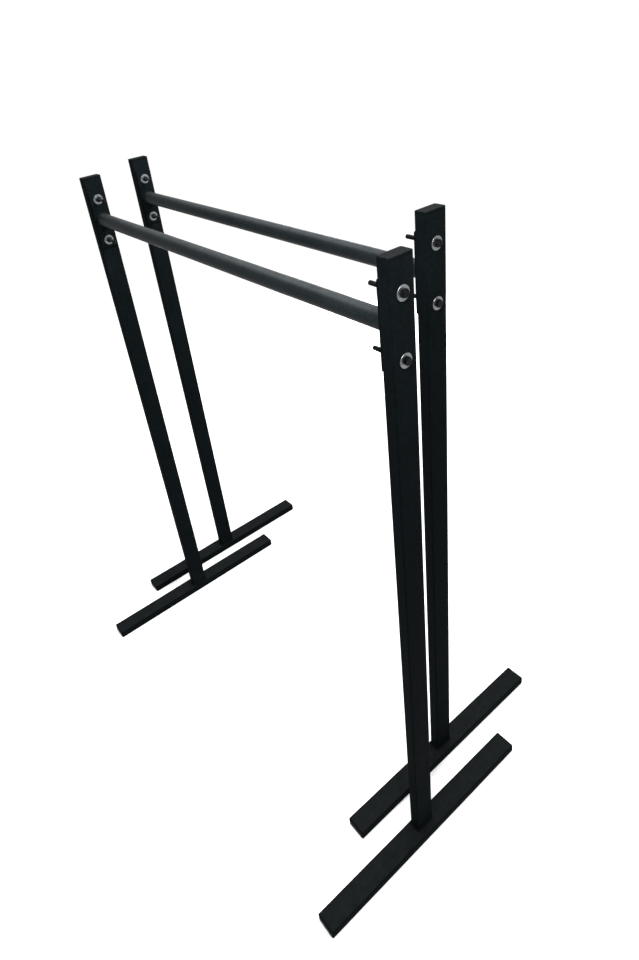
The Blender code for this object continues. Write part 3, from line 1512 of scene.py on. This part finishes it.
@dataclass
class Studio:
    """A pale room with soft light, and the camera.

    Attributes:
        floor_size: The floor's width, large enough to hide the horizon, in metres.
        camera_right: The way that the camera's own X points; up and back are its Y and Z.
        lens: The focal length, in millimetres, for a 36 mm sensor.
        shift: How far the view is moved across and up, as a share of its longer side.
    """

    floor_size: float = 600.0
    floor_colour: str = "#fbfbfa"
    floor_roughness: float = 0.9
    floor_specular: float = 0.1
    sky_colour: str = "#ffffff"
    sky_strength: float = 1.05
    softboxes: tuple[Softbox, ...] = (
        Softbox("back_softbox", (0.0, 0.6, 2.4), (0.0, 0.0, 1.4), (0.5, 0.5), 8),
        Softbox("key_softbox", (-0.35, -0.90, 2.0), (-0.05, -0.40, 1.4), (0.5, 0.5), 26),
        Softbox("far_softbox", (0.45, -0.25, 2.1), (0.0, 0.55, 1.35), (0.4, 0.4), 32),
        Softbox("side_softbox", (2.4, 1.8, 0.8), (0.0, 0.0, 0.8), (1.6, 1.2), 60),
    )
    camera_place: Point = (-0.7124, -1.2342, 1.7864)
    camera_right: Point = (0.78312666, -0.61023196, -0.11970627)
    camera_up: Point = (0.38755978, 0.3283953, 0.86136749)
    camera_back: Point = (-0.486323, -0.72095317, 0.49367648)
    sensor_width: float = 36.0
    lens: float = 24.583
    shift: tuple[float, float] = (0.02377, -0.09534)

    def set_up(self) -> None:
        """Lays the floor, hangs the lights and stands the camera."""
        self._floor()
        self._sky()
        for softbox in self.softboxes:
            softbox.hang()
        self._camera()
        bpy.context.scene.view_settings.view_transform = "Standard"

    def _floor(self) -> None:
        """Lays a plain pale floor."""
        floor = new_piece("floor", bpy.ops.mesh.primitive_plane_add, size=self.floor_size)
        material = bpy.data.materials.new("pale_matt_floor")
        material.use_nodes = True
        inputs = material.node_tree.nodes["Principled BSDF"].inputs
        inputs["Base Color"].default_value = linear(self.floor_colour)
        inputs["Roughness"].default_value = self.floor_roughness
        inputs["Specular IOR Level"].default_value = self.floor_specular
        floor.data.materials.append(material)

    def _sky(self) -> None:
        """Fills the room with even light."""
        world = bpy.data.worlds.new("pale_room")
        world.use_nodes = True
        inputs = world.node_tree.nodes["Background"].inputs
        inputs["Color"].default_value = linear(self.sky_colour)
        inputs["Strength"].default_value = self.sky_strength
        bpy.context.scene.world = world

    def _camera(self) -> None:
        """Stands the camera at eye height, a little off the end of the front frame."""
        camera = bpy.data.cameras.new("camera")
        camera.sensor_fit = "AUTO"
        camera.sensor_width = self.sensor_width
        camera.lens = self.lens
        camera.shift_x, camera.shift_y = self.shift
        obj = bpy.data.objects.new("camera", camera)
        axes = Matrix((self.camera_right, self.camera_up, self.camera_back)).transposed()
        obj.matrix_world = Matrix.Translation(self.camera_place) @ axes.to_4x4()
        bpy.context.scene.collection.objects.link(obj)
        bpy.context.scene.camera = obj


def main() -> None:
    """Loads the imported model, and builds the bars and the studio."""
    logging.basicConfig(level=logging.INFO, format="%(name)s: %(message)s")
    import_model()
    put_down()
    ParallelBars().build()
    Studio().set_up()


if __name__ == "__main__":
    main()
